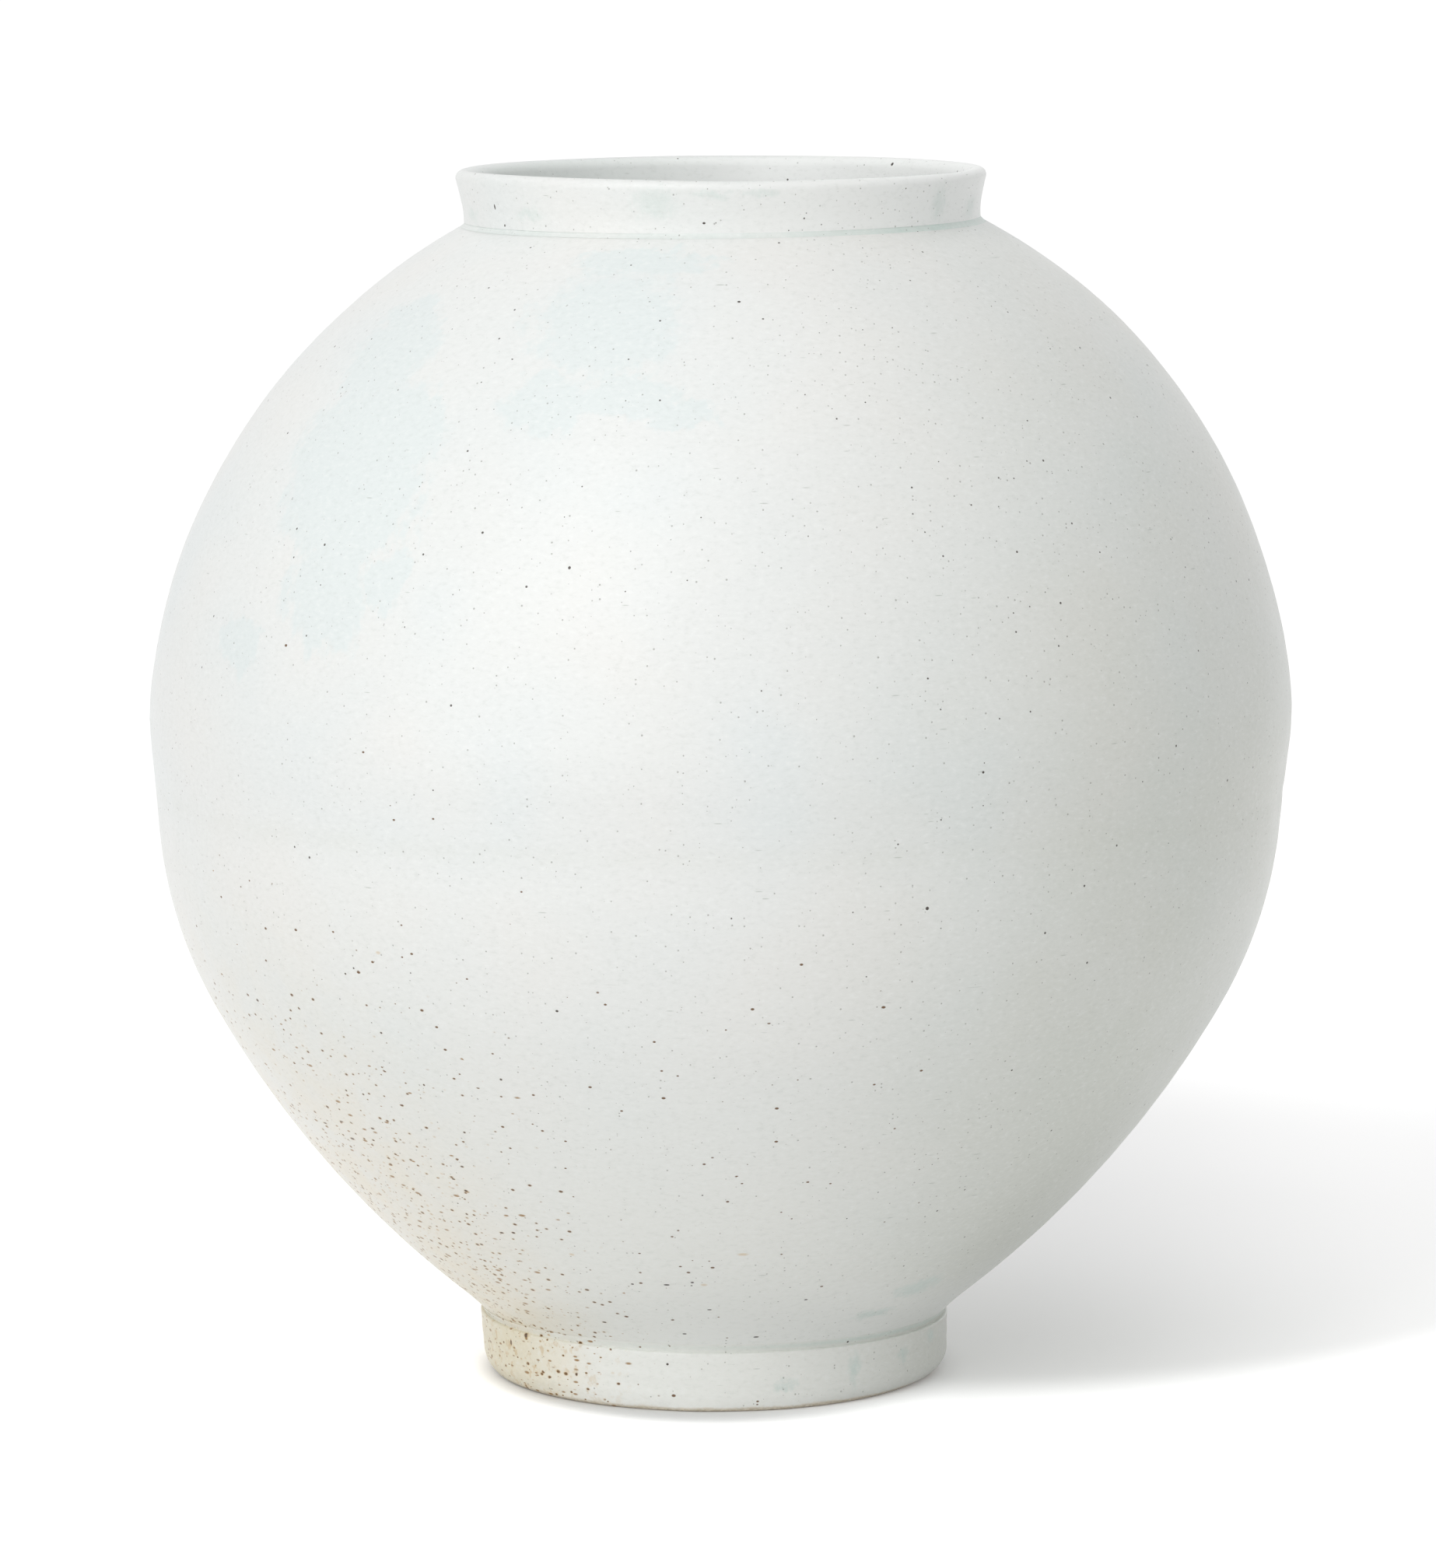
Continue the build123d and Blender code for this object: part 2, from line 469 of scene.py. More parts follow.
def collar_mesh():
    """Flared collar with a soft lip, a little glaze gathered under it, and a crest that rises and falls."""
    outside = Outline(collar_radius, slip_thickness, collar_heading)
    outside.sweep_to(*collar_hollow, collar_gap).sweep_to(*collar_flare, collar_gap)
    outside.bend(lip_outer_round, 180 - math.degrees(outside.heading), lip_gap)
    inside = Outline(mouth_radius, slip_thickness, mouth_heading)
    inside.straight(mouth_length, gap=1.5).bend(lip_inner_round, -mouth_heading, lip_gap)
    radius, height = outside.columns()
    inner_radius, inner_height = inside.columns()
    height = up_to_crest(height)
    inner_height = up_to_crest(inner_height)

    gathered = gather_depth * limited(to_front) * swell(height, *gather_band)
    gathered = gathered * (1 + np.sin(11 * angles + 1))
    round_error = collar_oval * (1 + np.cos(2 * angles)) + collar_ripple * (1 + np.sin(5 * angles + 1))
    outer = radius - round_error + gathered
    inner = inner_radius + mouth_ripple * np.sin(3 * angles)

    all_heights = stacked(uneven(height), uneven(inner_height)[::-1])
    lean = collar_lean * all_heights
    return tilted(turned_mesh("mouth_collar_thrown", stacked(outer, inner[::-1]), all_heights, lean))


def collar_slip_mesh():
    """Slip under the collar, with glaze pooled in the corner: a small hollow, wider at the right."""
    size = neck_pool + neck_pool_right * limited(to_right) ** 2 + neck_pool_ripple * np.sin(5 * angles + 1)
    way = np.linspace(0, 1, num=12)[:, None]
    radius = collar_radius - neck_pool_inset + (size + neck_pool_reach) * way**2
    depth = slip_thickness + shoulder_slope * (size - shoulder_meets)
    height = slip_thickness + size * (1 - way) ** 2 - depth * way**neck_pool_hollow
    bore = mouth_radius + tuck
    hidden_radius = column(neck_radius - slip_inset, bore, bore, collar_radius - slip_inset)
    hidden_height = column(-tuck, 0.0, slip_thickness, slip_thickness)
    all_heights = stacked(height, hidden_height)
    return tilted(turned_mesh("collar_slip_pooled", stacked(radius, hidden_radius), all_heights, 0.0))


def foot_dip():
    """How much lower the joint over the foot ring lies at the front and right."""
    return joint_dip * limited(0.5 + 0.5 * to_right + 0.5 * to_front)


def foot_ring_mesh():
    """Foot ring, more tapered at the left, with worn edges at the floor."""
    outside = Outline(foot_radius - foot_ledge_round, foot_top, 0)
    outside.bend(foot_ledge_round, -90, gap=0.2)
    outside.straight(foot_top - foot_ledge_round - foot_floor_round, gap=0.9)
    outside.bend(foot_floor_round, -90, gap=0.3)
    radius, height = outside.columns()
    taper = foot_taper - foot_taper_left * to_right + foot_taper_ripple * np.sin(4 * angles)
    drop = limited(1 - height / foot_top)
    turned = turning_depth * (1 + np.sin(2 * angles + height * turning_twist))
    worn = worn_depth * (1 + np.sin(9 * angles + 2 * np.sin(4 * angles))) * swell(height, *worn_band)
    bevel = (bevel_depth + bevel_depth_right * to_right) * to_right**2
    bevel = bevel * limited(1 - height / bevel_height) ** 2
    outer = radius - taper * drop**foot_taper_curve - turned - worn - bevel
    inside = Outline(foot_bore + foot_draft + foot_bore_round, 0, 180)
    inside.bend(foot_bore_round, -90, gap=0.5).line_to(foot_bore, foot_top, gap=2)
    inner, inner_height = inside.columns()
    dipped = np.maximum(height, 0) - foot_dip() * (height / foot_top) ** 3
    all_heights = stacked(dipped, inner_height)
    return turned_mesh("foot_ring_trimmed", stacked(outer, inner), all_heights, foot_middle + foot_shift)


def foot_slip_mesh():
    """Slip over the foot ring, wiped along the wall of the bowl down to a small corner on the ring."""
    low = foot_top - foot_dip() - slip_lap
    high = base_height + slip_climb
    rim = column(high)
    wall_radius, wall_height = hip_outline().columns()
    bowl_radius = np.interp(high, wall_height[::-1, 0], wall_radius[::-1, 0])
    bowl_radius = bowl_radius + hip_spread(rim) - hand_of_potter(rim)
    way = np.linspace(0, 1, num=14)[:, None]
    radius = bowl_radius + slip_proud - slip_slope * (high - low) * (1 - way) + slip_corner * (1 - way) ** 5
    height = low + (high - low) * way
    under_wall = base_radius - slip_inset / 2
    bore = foot_bore + tuck
    hidden_radius = column(under_wall, under_wall, bore, bore, base_radius - slip_inset)
    hidden_height = column(high - slip_climb / 2, base_height, base_height, foot_top, foot_top)
    all_heights = stacked(height, hidden_height)
    middle = foot_middle + slip_shift
    return turned_mesh("foot_slip_pooled", stacked(radius, hidden_radius), all_heights, middle)


pieces = {
    "foot_ring": dress("foot_ring", foot_ring_mesh()),
    "foot_slip": dress("foot_slip", foot_slip_mesh()),
    "lower_bowl": dress("lower_bowl", lower_bowl_mesh()),
    "waist_slip": dress("waist_slip", waist_slip_mesh()),
    "waist_coil": dress("waist_coil", waist_coil_mesh()),
    "upper_bowl": dress("upper_bowl", upper_bowl_mesh()),
    "collar_slip": dress("collar_slip", collar_slip_mesh()),
    "mouth_collar": dress("mouth_collar", collar_mesh()),
}


class Wire:
    """A value in a node tree. Arithmetic on it adds Math nodes."""

    def __init__(self, bench, socket):
        self.bench = bench
        self.socket = socket

    def __add__(self, other):
        return self.bench.math("ADD", self, other)

    __radd__ = __add__

    def __sub__(self, other):
        return self.bench.math("SUBTRACT", self, other)

    def __rsub__(self, other):
        return self.bench.math("SUBTRACT", other, self)

    def __mul__(self, other):
        return self.bench.math("MULTIPLY", self, other)

    __rmul__ = __mul__

    def __truediv__(self, other):
        return self.bench.math("DIVIDE", self, other)

    def __pow__(self, other):
        return self.bench.math("POWER", self, other)

    def largest(self, other):
        return self.bench.math("MAXIMUM", self, other)

    def smallest(self, other):
        return self.bench.math("MINIMUM", self, other)

    def rise(self, low, high):
        """0 below low, 1 above high, and smooth between them."""
        sockets = {"Value": self, "From Min": low, "From Max": high}
        node = self.bench.node("MapRange", {"interpolation_type": "SMOOTHSTEP"}, sockets)
        return self.bench.wire(node, "Result")

    def fall(self, low, high):
        return 1 - self.rise(low, high)

    def hump(self, middle, width):
        """1 at a middle value, and 0 a width away on either side."""
        return self.bench.math("ABSOLUTE", (self - middle) / width).fall(0, 1)


class Bench:
    """A node tree being built, for one finish or light."""

    def __init__(self, tree):
        self.tree = tree
        self.tree.nodes.clear()

    def node(self, kind, settings=None, sockets=None):
        made = self.tree.nodes.new("ShaderNode" + kind)
        for name, value in (settings or {}).items():
            setattr(made, name, value)
        for name, value in (sockets or {}).items():
            self.plug(made.inputs[name], value)
        return made

    def plug(self, inlet, value):
        if isinstance(value, Wire):
            self.tree.links.new(value.socket, inlet)
        elif inlet.type == "RGBA":
            inlet.default_value = (*value, 1.0)
        else:
            inlet.default_value = value

    def wire(self, node, outlet):
        return Wire(self, node.outputs[outlet])

    def math(self, operation, *values):
        return self.wire(self.node("Math", {"operation": operation}, dict(enumerate(values))), 0)

    def vector(self, operation, *values):
        return self.wire(self.node("VectorMath", {"operation": operation}, dict(enumerate(values))), 0)

    def length(self, vector):
        return self.wire(self.node("VectorMath", {"operation": "LENGTH"}, {0: vector}), "Value")

    def blend(self, amount, first, second):
        """Colour that goes from first to second with an amount."""
        node = self.node("Mix", {"data_type": "RGBA"}, {0: amount, 6: first, 7: second})
        return self.wire(node, 2)

    def mixed(self, amount, first, second):
        """Shader that goes from first to second with an amount."""
        return self.node("MixShader", None, {0: amount, 1: self.wire(first, 0), 2: self.wire(second, 0)})

    def output(self, kind, shader):
        self.node("Output" + kind, None, {"Surface": self.wire(shader, 0)})


def shown(red, green, blue):
    """Colour as it looks on a screen, from 0 to 255, in the linear values that shaders use."""
    shares = [value / 255 for value in (red, green, blue)]
    return tuple(v / 12.92 if v <= 0.04045 else ((v + 0.055) / 1.055) ** 2.4 for v in shares)


def even(value):
    """The same value for all three channels of a colour, or all three axes."""
    return (value, value, value)


# Colours of the glaze and clay. Some of them also paint light and shade: the green-grey is darker and the
# cream paler than the glaze itself, and the darker green-grey is painted shade alone.
milk = shown(231, 233, 231)
white_milk = shown(244, 246, 244)
ice = shown(224, 231, 230)
olive_milk = shown(214, 217, 208)
olive_painted_shade = shown(205, 208, 199)
cream = shown(236, 237, 232)
rosy_milk = shown(233, 233, 230)
cool_milk = shown(228, 232, 231)
scorch = shown(241, 231, 210)
celadon = shown(205, 219, 213)
iron = shown(52, 40, 30)
pepper = shown(100, 94, 84)
rust = shown(84, 52, 24)
brown_rust = shown(100, 64, 14)
ochre = shown(198, 162, 96)
straw = shown(152, 110, 42)
straw_milk = shown(226, 217, 186)
scratch = shown(160, 167, 157)
bare_clay = shown(222, 214, 198)
damp_clay = shown(200, 190, 170)

# Camera of the photograph, which also places the iron spots
PHOTO_WIDTH = 1846
PHOTO_HEIGHT = 2016
photo_focal = 10127.0  # in pixels
camera_place = Vector((-0.001, -2.9147, 0.5971))
camera_pitch = math.radians(7.36)
camera_turn = math.pi / 2 - camera_pitch


def through_pixel(across, down):
    """Direction from the camera through a pixel of the photograph."""
    ray = Vector(((across - PHOTO_WIDTH / 2) / photo_focal, (PHOTO_HEIGHT / 2 - down) / photo_focal, -1))
    return (Matrix.Rotation(camera_turn, 3, "X") @ ray).normalized()


# Marks placed one by one: pixel across and down in the photograph, then width and height in millimetres
spots_upper = [(950, 388, 1.3, 1.1), (1264, 993, 1.0, 1.0), (1512, 959, 0.9, 0.9), (732, 730, 1.1, 1.3)]
spots_lower = [
    (1192, 1168, 1.4, 1.4), (1394, 1139, 0.9, 0.9), (716, 1300, 1.2, 1.0), (857, 1652, 2.4, 1.1),
    (813, 1651, 1.2, 1.0), (890, 1649, 1.3, 1.1), (777, 1700, 1.8, 1.1), (822, 1730, 2.6, 1.4),
    (880, 1715, 1.7, 0.9), (912, 1684, 1.8, 0.8), (972, 1719, 2.2, 1.0), (1036, 1671, 1.5, 0.9),
    (594, 1500, 1.5, 1.0), (583, 1516, 1.6, 0.8), (599, 1531, 1.6, 1.2), (600, 1561, 1.1, 1.0),
    (645, 1585, 1.8, 1.0), (660, 1585, 1.6, 1.2), (619, 1600, 1.5, 1.0), (597, 1456, 1.1, 0.9),
    (644, 1388, 1.1, 1.0), (545, 1395, 0.9, 0.9), (445, 1402, 1.1, 0.9), (467, 1407, 1.1, 0.9),
    (453, 1464, 2.6, 1.1), (480, 1466, 1.4, 0.9), (439, 1442, 2.4, 0.8), (418, 1444, 2.6, 0.8),
    (479, 1451, 2.0, 0.9), (331, 1286, 1.7, 1.2), (444, 1252, 0.9, 0.9), (490, 1328, 1.1, 0.9),
]
spots_foot = [(657, 1726, 1.2, 2.2), (676, 1717, 1.9, 2.0), (741, 1767, 1.1, 1.2), (858, 1754, 1.0, 1.0)]
spots_collar = [(1147, 211, 1.3, 1.6), (905, 287, 1.2, 0.9), (649, 290, 1.0, 1.0), (636, 266, 1.1, 2.2)]
icy_patches = [
    (540, 400, 34, 24), (500, 455, 46, 46), (470, 560, 84, 56), (450, 640, 80, 56), (421, 760, 46, 56),
    (495, 745, 18, 30), (308, 825, 24, 26), (780, 416, 58, 60), (697, 525, 34, 34), (800, 510, 44, 28),
    (869, 540, 32, 16), (840, 335, 60, 16),
]
lip_pools = [
    (842, 262, 24, 16), (917, 250, 20, 5), (980, 249, 18, 5), (1207, 260, 14, 18), (1247, 265, 18, 13),
    (607, 276, 18, 8), (680, 276, 20, 6),
]
foot_runs = [
    (1098, 1758, 9, 20), (1196, 1716, 12, 7), (1160, 1742, 8, 6), (1010, 1780, 10, 7), (1085, 1722, 10, 5),
]
hip_smears = [(955, 1613, 5.0, 2.2), (735, 1613, 2.6, 2.0), (905, 1652, 3.2, 2.0), (486, 1225, 2.6, 1.6)]
hip_runs = [(1180, 1655, 24, 16), (1120, 1690, 22, 10)]


class GlazeBench(Bench):
    """Node tree of a glaze, and the places on the jar by which its marks are set."""

    def __init__(self, name, piece):
        self.material = bpy.data.materials.new(name)
        self.material.use_nodes = True
        super().__init__(self.material.node_tree)
        self.skin = BVHTree.FromObject(piece, bpy.context.evaluated_depsgraph_get())
        self.place = self.wire(self.node("TexCoord"), "Object")
        split = self.node("SeparateXYZ", None, {0: self.place})
        self.across, self.height = self.wire(split, "X"), self.wire(split, "Z")
        self.outwards = self.length(self.vector("MULTIPLY", self.place, (1, 1, 0)))
        self.left = self.across * -1 / self.outwards
        self.low = self.height.fall(0.02, 0.24)

    def noise(self, size, detail=2.0, roughness=0.5, stretch=(1, 1, 1)):
        """Cloudy value from about 0.2 to 0.8, with clouds of a size in metres."""
        scale = tuple(1 / (size * axis) for axis in stretch)
        sockets = {"Vector": self.vector("MULTIPLY", self.place, scale), "Scale": 1.0}
        sockets |= {"Detail": detail, "Roughness": roughness}
        return self.wire(self.node("TexNoise", None, sockets), 0)

    def specks(self, cell, radius, share, drawn_out=1.0, smallest=0.25, left_out=9):
        """Specks of up to a radius, in a share of the cells, as a distance that is 1 at their edge."""
        flattened = self.vector("MULTIPLY", self.place, (1 / drawn_out, 1 / drawn_out, 1))
        settings = {"voronoi_dimensions": "3D", "feature": "F1"}
        cells = self.node("TexVoronoi", settings, {"Vector": flattened, "Scale": 1 / cell})
        dice = self.node("SeparateColor", None, {0: self.wire(cells, "Color")})
        size = (self.wire(dice, 0) ** 2 * (1 - smallest) + smallest) * (radius / cell)
        chosen = self.math("LESS_THAN", self.wire(dice, 1), share)
        return self.wire(cells, "Distance") / size + left_out * (1 - chosen)

    def marks(self, place, listed):
        """Marks at their own places, drawn out along the throwing lines, as a distance, 1 at their edge."""
        nearest = None
        for across, down, width, height in listed:
            spot = self.skin.ray_cast(camera_place, through_pixel(across, down))[0]
            if spot is None:
                continue
            turn = math.atan2(spot.x, -spot.y)
            scale = (width * MM / 2, height * MM / 2, height * MM / 2)
            sockets = {"Vector": place, "Location": spot, "Rotation": (0, 0, turn), "Scale": scale}
            distance = self.length(self.wire(self.node("Mapping", {"vector_type": "TEXTURE"}, sockets), 0))
            nearest = distance if nearest is None else nearest.smallest(distance)
        return nearest

    def patches(self, listed, ragged, core):
        """Patches that are full in their core. Their edges stray by ragged, in metres."""
        sockets = {"Vector": self.place, "Scale": 0.7 / ragged, "Detail": 6.0, "Roughness": 0.62}
        cloud = self.wire(self.node("TexNoise", None, sockets), "Color")
        stray = self.vector("MULTIPLY", self.vector("SUBTRACT", cloud, even(0.5)), even(2 * ragged))
        frayed = self.noise(0.3 * ragged, detail=3.0, roughness=0.6, stretch=(1, 1, 2.5))
        distance = self.marks(self.vector("ADD", self.place, stray), listed)
        return (distance + (frayed - 0.5) * 0.9).fall(core, 1.05)


def milky_ground(bench, small_clouds):
    """Milk that drifts to rose and blue, with cream below that is partly painted light, a green-grey tint at
    the right that is partly the glaze's own and partly painted shade, painted shade low at the right, and a
    scorched left side.
    """
    clouds = bench.noise(0.07, detail=3.0, roughness=0.55)
    drift = bench.noise(0.06, detail=1.5, roughness=0.4)
    # Partly painted shade: this green-grey share is darker than the milk and grows towards the bottom at the
    # right.
    olive_and_painted_shade = bench.across.rise(0.0, 0.17) * (0.7 + 0.3 * clouds.rise(0.35, 0.65))
    olive_and_painted_shade = olive_and_painted_shade * (0.4 + 0.6 * bench.height.fall(0.05, 0.42))
    # Painted shade: the colour darkens low at the right, where the bowl lies in shade.
    painted_shade_hip = bench.across.rise(0.04, 0.13) * bench.height.fall(0.03, 0.15)
    scorched = bench.low * bench.left.rise(0.35, 1.0) * (0.45 + 0.55 * small_clouds.rise(0.3, 0.7))
    luted = bench.height.hump(seam_height * MM, 0.007) * (0.3 + 0.7 * small_clouds.rise(0.3, 0.65))
    colour = bench.blend(drift.rise(0.45, 0.75), milk, rosy_milk)
    colour = bench.blend(drift.fall(0.25, 0.5), colour, cool_milk)
    # Partly painted light: the cream is paler than the milk and lifts the lower half.
    colour = bench.blend(bench.low * (1 - olive_and_painted_shade) * 0.9, colour, cream)
    colour = bench.blend(olive_and_painted_shade, colour, olive_milk)
    colour = bench.blend(painted_shade_hip * 0.8, colour, olive_painted_shade)
    colour = bench.blend(scorched * 0.8, colour, scorch)
    return bench.blend(luted * 0.15, colour, olive_milk)


def grained(bench, colour):
    """Fine grain of the glaze, darker and paler."""
    grain = bench.noise(0.0014, roughness=0.6, stretch=(1.8, 1.8, 1))
    colour = bench.blend(grain.rise(0.5, 0.8) * 0.11, colour, scratch)
    return bench.blend(grain.fall(0.2, 0.5) * 0.3, colour, white_milk)


def speckled(bench, colour, spots):
    """Scratches and iron specks, browner and thicker low at the left. Also gives the faint specks alone."""
    rusty = bench.low * bench.left.rise(0.15, 0.8)
    upper = bench.height.rise(0.25, 0.33)
    right_side = bench.across.rise(-0.02, 0.1)
    over_foot = 0.3 + 0.7 * bench.height.rise(0.015, 0.04)
    sprinkled = 0.17 * bench.low * bench.left.rise(-0.6, 0.4)
    strewn = 0.04 * bench.height.fall(0.15, 0.33) * bench.left.rise(0.2, 0.8)
    browned = 0.9 * rusty * rusty * over_foot + sprinkled + strewn
    scratched = 0.2 + 0.5 * bench.across.rise(-0.1, 0.1)
    peppered = 0.6 + 0.4 * upper * right_side
    darkened = 0.14 + 0.55 * upper + 0.35 * right_side

    drawn = bench.specks(0.0017, 0.0006, rusty * rusty, drawn_out=2.8)
    scratches = bench.specks(0.0022, 0.00027, scratched, drawn_out=7.0)
    long_scratches = bench.specks(0.0045, 0.00024, 0.5, drawn_out=24.0)
    faint = bench.specks(0.0021, 0.00046, peppered)
    brown = bench.specks(0.0019, 0.00068, browned, drawn_out=1.5)
    dark = bench.specks(0.0052, 0.0006, darkened)
    burnt_iron = bench.blend(rusty, iron, rust)
    colour = bench.blend(drawn.fall(0.5, 1.2) * 0.9, colour, straw)
    colour = bench.blend(scratches.fall(0.4, 1.2) * 0.45, colour, scratch)
    colour = bench.blend(long_scratches.fall(0.4, 1.2) * 0.25, colour, scratch)
    colour = bench.blend(faint.fall(0.4, 1.1) * 0.52, colour, pepper)
    colour = bench.blend(brown.fall(0.8, 1.5) * rusty * 0.7, colour, ochre)
    colour = bench.blend(brown.fall(0.6, 1.0) * 0.95, colour, brown_rust)
    colour = bench.blend(dark.fall(0.6, 1.0) * 0.92, colour, burnt_iron)
    if spots:
        placed = bench.marks(bench.place, spots)
        colour = bench.blend(placed.fall(0.9, 1.7) * rusty * 0.6, colour, ochre)
        colour = bench.blend(placed.fall(0.7, 1.1) * 0.96, colour, burnt_iron)
    return colour, faint


def glaze(name, piece, spots=(), mend=None):
    """Milky glaze with specks and pits. mend(bench, colour, gloss) adds what one piece has of its own."""
    bench = GlazeBench(name, piece)
    small_clouds = bench.noise(0.016)
    colour = milky_ground(bench, small_clouds)
    gloss = 0.33 + 0.12 * (small_clouds - 0.5)
    if mend:
        colour, gloss = mend(bench, colour, gloss)
    colour, faint = speckled(bench, grained(bench, colour), spots)

    rings = bench.noise(0.004, roughness=0.6, stretch=(30, 30, 1))
    peel = bench.noise(0.0022, detail=1.0)
    waves = bench.noise(0.011)
    pits = faint.fall(0.2, 1.3)
    relief = rings * 0.2 + peel * 0.2 + waves * 0.6 - pits * 0.4
    bump = bench.node("Bump", None, {"Strength": 0.7, "Distance": 0.0004, "Height": relief})
    sockets = {"Base Color": colour, "Roughness": gloss, "IOR": 1.47, "Normal": bench.wire(bump, 0)}
    bench.output("Material", bench.node("BsdfPrincipled", None, sockets))
    return bench.material


def icy_shoulder(bench, colour, gloss):
    """Glaze that lies thicker, and bluer, in patches on the shoulder."""
    return bench.blend(bench.patches(icy_patches, 0.017, 0.7) * 0.85, colour, ice), gloss


def pooled_collar(bench, colour, gloss):
    """Whiter inside, with painted light that whitens the right side, celadon under the lip, and celadon run
    down inside at the left that is partly painted shade.
    """
    inside = bench.outwards.fall(0.0915, 0.094)
    # Partly painted shade: celadon darkens the inside at the left, partly glaze that ran down.
    ran_down_and_shade = inside * bench.across.fall(-0.08, 0.03) * 0.3
    pooled = (bench.patches(lip_pools, 0.004, 0.1) * 0.4).largest(ran_down_and_shade)
    # Painted light: the collar's right side is whitened.
    colour = bench.blend(bench.across.rise(-0.02, 0.09), colour, white_milk)
    colour = bench.blend(inside, colour, white_milk)
    return bench.blend(pooled, colour, celadon), gloss - 0.02 * bench.height.rise(0.438, 0.447)


def scorched_foot(bench, colour, gloss):
    """Straw and ochre mottling at the foot's left, celadon runs at its right, bare clay at the floor."""
    mottled = bench.noise(0.0045, detail=3.0, roughness=0.6).rise(0.54, 0.68)
    mottled = mottled * (bench.across * -1).rise(0.02, 0.07)
    colour = bench.blend(bench.left.rise(0.5, 1.0) * 0.7, colour, straw_milk)
    colour = bench.blend(mottled * 0.45, colour, ochre)
    colour = bench.blend(bench.patches(foot_runs, 0.005, 0.0) * 0.7, colour, celadon)
    grain = bench.noise(0.0016)
    edge = bench.height - 0.0016 * (bench.noise(0.012) - 0.5) - 0.0012 * (grain - 0.5)
    bare = edge.fall(0.0008, 0.0022)
    clay = bench.blend(grain.rise(0.35, 0.7), damp_clay, bare_clay)
    return bench.blend(bare, colour, clay), gloss + 0.35 * bare


def pooled_foot(bench, colour, gloss):
    """Celadon where the glaze gathered over the foot ring, deeper at the right."""
    pool = bench.height.hump(foot_top * MM + 0.0006, 0.0018)
    pool = pool * (0.25 + 0.75 * bench.across.rise(-0.02, 0.06))
    return bench.blend(pool * 0.6, colour, celadon), gloss


def run_hip(bench, colour, gloss):
    """Ochre smears, straw low at the left, painted light that makes the wall paler over the foot elsewhere,
    and celadon runs at the right.
    """
    smears = bench.marks(bench.place, hip_smears).fall(0.2, 1.1)
    near_foot = bench.height.fall(0.025, 0.06)
    colour = bench.blend(smears * 0.5, colour, ochre)
    # Painted light: the wall just over the foot is made paler, where it lies in shade.
    colour = bench.blend(near_foot * bench.left.fall(0.0, 0.7) * 0.6, colour, white_milk)
    colour = bench.blend(near_foot * bench.left.rise(0.5, 1.0) * 0.35, colour, straw_milk)
    return bench.blend(bench.patches(hip_runs, 0.006, 0.3) * 0.6, colour, celadon), gloss


def pooled_neck(bench, colour, gloss):
    """Celadon in the corner under the collar, deeper at the right."""
    thick = bench.noise(0.012).rise(0.3, 0.7)
    pool = (0.4 + 0.3 * thick) * (0.5 + 0.9 * bench.across.rise(0.0, 0.08))
    return bench.blend(pool, colour, celadon), gloss - 0.02 * thick


finishes = {
    "foot_ring": ("foot_glaze_and_clay", spots_foot, scorched_foot),
    "foot_slip": ("foot_pool", (), pooled_foot),
    "lower_bowl": ("scorched_milk_glaze", spots_lower, run_hip),
    "waist_slip": ("waist_milk_glaze", (), None),
    "waist_coil": ("coil_milk_glaze", (), None),
    "upper_bowl": ("icy_milk_glaze", spots_upper, icy_shoulder),
    "collar_slip": ("collar_pool", (), pooled_neck),
    "mouth_collar": ("collar_milk_glaze", spots_collar, pooled_collar),
}
for node, (name, spots, mend) in finishes.items():
    pieces[node].data.materials.append(glaze(name, pieces[node], spots, mend))


def seen_directly(bench):
    """1 for what the camera sees, also by way of gloss or glass, and 0 for light on its way to a surface."""
    path = bench.node("LightPath")
    seen = bench.wire(path, "Is Camera Ray").largest(bench.wire(path, "Is Glossy Ray"))
    return seen.largest(bench.wire(path, "Is Transmission Ray"))


def paper(bench, level):
    """White or grey paper that takes the light as it comes."""
    return bench.node("BsdfDiffuse", None, {"Color": even(level)})


# Floor: white paper with the jar's soft shade on it, partly painted in: its glow dims in a wedge at the
# jar's right, and round the foot it turns greyer with no glow, as a painted contact shade.
floor_size = 60.0
shade_curve = 5.1
shade_start = 0.053
shade_blur = 0.033
floor_mesh = bpy.data.meshes.new("floor")
corners = [(x * floor_size, y * floor_size, 0) for x, y in ((-1, -1), (1, -1), (1, 1), (-1, 1))]
floor_mesh.from_pydata(corners, [], [(0, 1, 2, 3)])
floor = bpy.data.objects.new("floor", floor_mesh)
bpy.context.scene.collection.objects.link(floor)
floor_material = bpy.data.materials.new("white_paper")
floor_material.use_nodes = True
floor_bench = Bench(floor_material.node_tree)
floor_place = floor_bench.wire(floor_bench.node("TexCoord"), "Object")
floor_split = floor_bench.node("SeparateXYZ", None, {0: floor_place})
right, behind = floor_bench.wire(floor_split, "X"), floor_bench.wire(floor_split, "Y")
away = floor_bench.length(floor_place)
# Painted shadow: the glow dims in a wedge to the right of and behind the jar.
front_edge = (behind - shade_curve * right**3 + shade_start).rise(-shade_blur, shade_blur)
left_edge = (right - 0.2 * behind).rise(-0.01, 0.05)
shaded = left_edge * (1 - 0.4 * right.rise(0.1, 0.3)) * front_edge * away.fall(0.55, 0.94)
# Painted contact shade: round the foot the paper is greyer and loses its glow.
beside_foot = floor_bench.vector("MULTIPLY", floor_place, (1.025, 0.85, 0))
near_foot = floor_bench.length(beside_foot).fall(0.076, 0.098) * (1 - 0.8 * right.rise(-0.03, 0.09))
glow_colour = floor_bench.blend(shaded, even(0.5), even(0.13))
glow_colour = floor_bench.blend(near_foot * (2 - near_foot), glow_colour, even(0.0))
glow = floor_bench.node("Emission", None, {"Color": glow_colour})
seen_paper = floor_bench.mixed(near_foot, paper(floor_bench, 1.0), paper(floor_bench, 0.78))
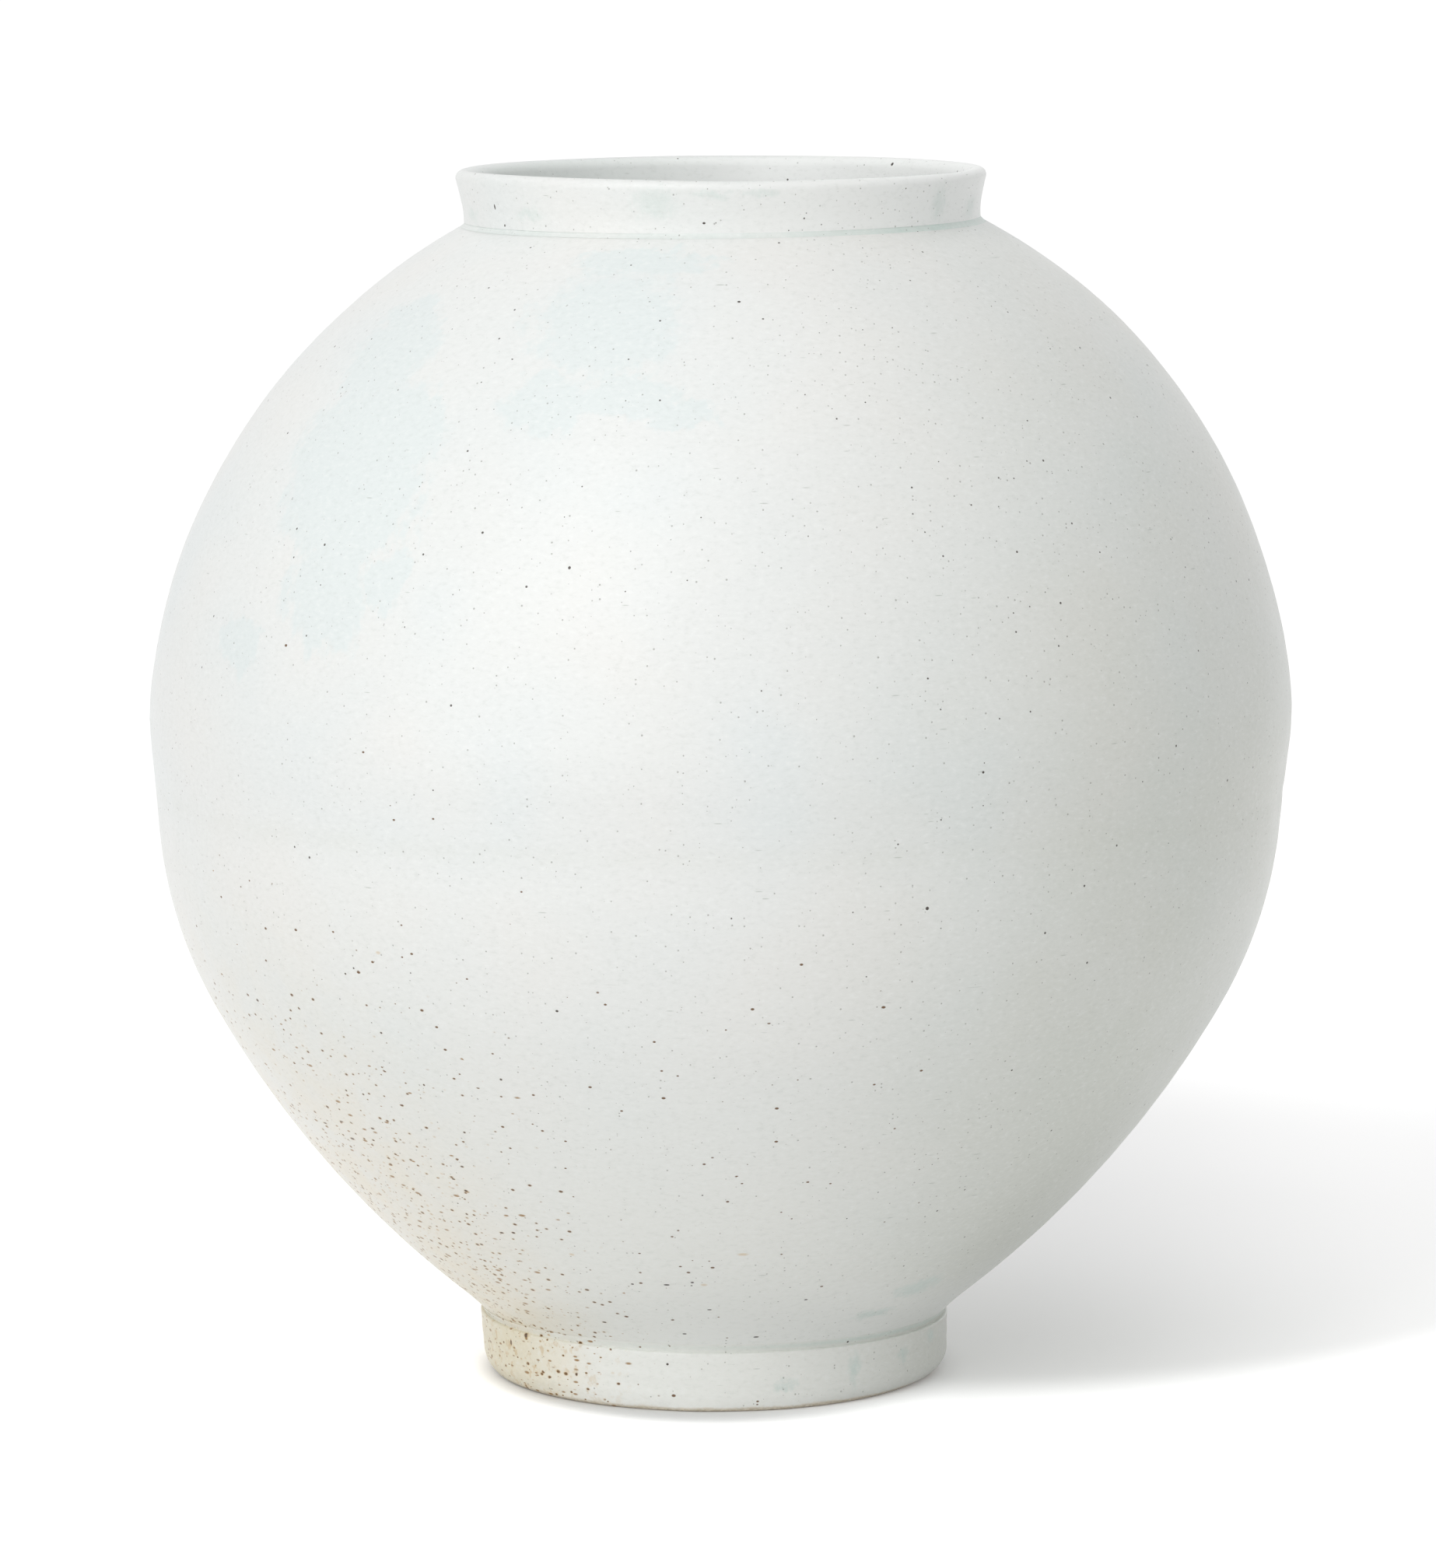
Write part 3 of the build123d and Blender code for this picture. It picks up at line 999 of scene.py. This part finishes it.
sockets = {0: floor_bench.wire(seen_paper, 0), 1: floor_bench.wire(glow, 0)}
seen_floor = floor_bench.node("AddShader", None, sockets)
floor_shader = floor_bench.mixed(seen_directly(floor_bench), paper(floor_bench, 0.82), seen_floor)
floor_bench.output("Material", floor_shader)
floor_mesh.materials.append(floor_material)

# World: a dome of soft light, seen as a white backdrop
world = bpy.data.worlds.new("studio")
world.use_nodes = True
bpy.context.scene.world = world
world_bench = Bench(world.node_tree)
dome = world_bench.node("Background", None, {"Color": even(1.0), "Strength": 0.57})
backdrop = world_bench.node("Background", None, {"Color": even(1.0), "Strength": 1.0})
world_bench.output("World", world_bench.mixed(seen_directly(world_bench), dome, backdrop))

# Lamps
lamp_aim = Vector((0, 0, 0.22))


def softbox(name, azimuth, elevation, distance, size, power):
    """Square lamp that looks at the middle of the jar, azimuth degrees to the right of the camera's side."""
    turn, climb = math.radians(azimuth), math.radians(elevation)
    towards = Vector((math.sin(turn) * math.cos(climb), -math.cos(turn) * math.cos(climb), math.sin(climb)))
    lamp = bpy.data.lights.new(name, "AREA")
    lamp.size = size
    lamp.energy = power
    holder = bpy.data.objects.new(name, lamp)
    holder.location = lamp_aim + towards * distance
    holder.rotation_euler = towards.to_track_quat("Z", "Y").to_euler()
    bpy.context.scene.collection.objects.link(holder)


softbox("window", azimuth=-30, elevation=44, distance=2.2, size=1.25, power=9)
softbox("low_window", azimuth=-40, elevation=10, distance=3.0, size=2.6, power=24)
softbox("skylight", azimuth=-20, elevation=80, distance=2.5, size=2.0, power=6)
softbox("front", azimuth=-5, elevation=20, distance=2.8, size=2.4, power=7.5)

# Camera
lens = bpy.data.cameras.new("photo_camera")
lens.sensor_fit = "VERTICAL"
lens.sensor_height = 36.0
lens.lens = photo_focal * lens.sensor_height / PHOTO_HEIGHT
lens.clip_end = 200.0
camera = bpy.data.objects.new("photo_camera", lens)
camera.location = camera_place
camera.rotation_euler = (camera_turn, 0, 0)
bpy.context.scene.collection.objects.link(camera)
bpy.context.scene.camera = camera
bpy.context.scene.view_settings.view_transform = "Standard"
